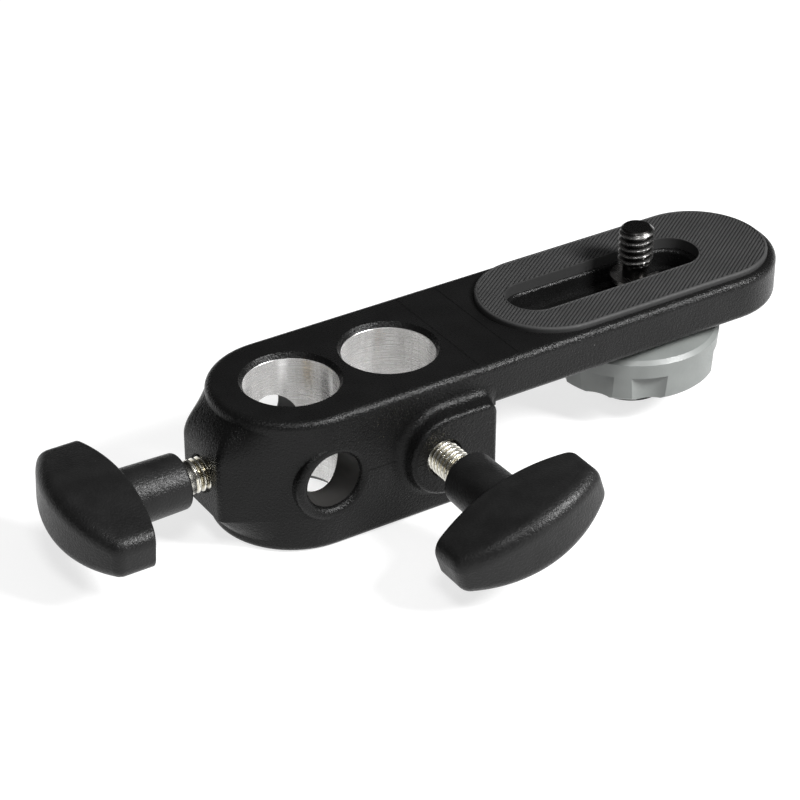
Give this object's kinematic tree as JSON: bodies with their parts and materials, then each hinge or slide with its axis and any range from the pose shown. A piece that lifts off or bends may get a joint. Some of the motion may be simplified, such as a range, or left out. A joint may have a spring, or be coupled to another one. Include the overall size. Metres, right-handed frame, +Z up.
{
  "type": "umbrella swivel bracket",
  "caption": "Cast bracket for a light stand: stud sockets, T-handle clamp screws, and an arm with a slotted, rubber-faced camera platform and thumb-knob camera screw.",
  "frame": {"origin": "centre of the end socket, level with the axes of the clamp screws", "axes": "+X along the bar towards the camera platform, +Z up out of the platform and along both stud sockets, +Y away from the side clamp screw"},
  "size_m": [0.1434, 0.0635, 0.0334],
  "materials": {
    "black_casting": "satin",
    "black_rubber": "matte",
    "black_steel": "black oxide",
    "zinc_steel": "zinc plated",
    "brass": "turned",
    "nylon": "matte",
    "grey_plastic": "satin",
    "black_plastic": "fine texture"
  },
  "bodies": {
    "bracket": {"bracket_body": "black_casting", "rubber_pad": "black_rubber"},
    "slot_washer": {"knob_washer": "nylon"},
    "lift_ring": {"screw_retaining_ring": "black_steel"},
    "camera_screw_knob": {"camera_screw": "black_steel", "camera_knob": "grey_plastic", "camera_knob_cap": "black_plastic"},
    "end_tip": {"end_clamp_tip": "brass"},
    "end_knob": {"end_knob_handle": "black_plastic", "end_knob_screw": "zinc_steel"},
    "side_tip": {"side_clamp_tip": "brass"},
    "side_knob": {"side_knob_handle": "black_plastic", "side_knob_screw": "zinc_steel"}
  },
  "joints": [
    {"name": "camera_screw_slot_slide", "type": "slide", "parent": "bracket", "child": "slot_washer", "axis": [1, 0, 0], "range_m": [-0.0212, 0.0073]},
    {"name": "camera_screw_lift", "type": "slide", "parent": "slot_washer", "child": "lift_ring", "axis": [0, 0, 1], "range_m": [-0.0023, 0]},
    {"name": "camera_knob_turn", "type": "hinge", "parent": "lift_ring", "child": "camera_screw_knob", "pos_m": [0.0707, 0, 0], "axis": [0, 0, 1], "continuous": true},
    {"name": "end_tip_slide", "type": "slide", "parent": "bracket", "child": "end_tip", "axis": [1, 0, 0], "range_m": [-0.003, 0.0035]},
    {"name": "end_knob_turn", "type": "hinge", "parent": "end_tip", "child": "end_knob", "pos_m": [-0.0213, 0, 0], "axis": [1, 0, 0], "range_deg": [-1080, 1260]},
    {"name": "side_tip_slide", "type": "slide", "parent": "bracket", "child": "side_tip", "axis": [0, 1, 0], "range_m": [-0.0015, 0.0065]},
    {"name": "side_knob_turn", "type": "hinge", "parent": "side_tip", "child": "side_knob", "pos_m": [0.0191, -0.0245, 0], "axis": [0, 1, 0], "range_deg": [-540, 2340]}
  ],
  "couplings": [
    {"joint": "end_tip_slide", "follows": "end_knob_turn", "m_per_rad": 0.00015915},
    {"joint": "side_tip_slide", "follows": "side_knob_turn", "m_per_rad": 0.00015915}
  ]
}
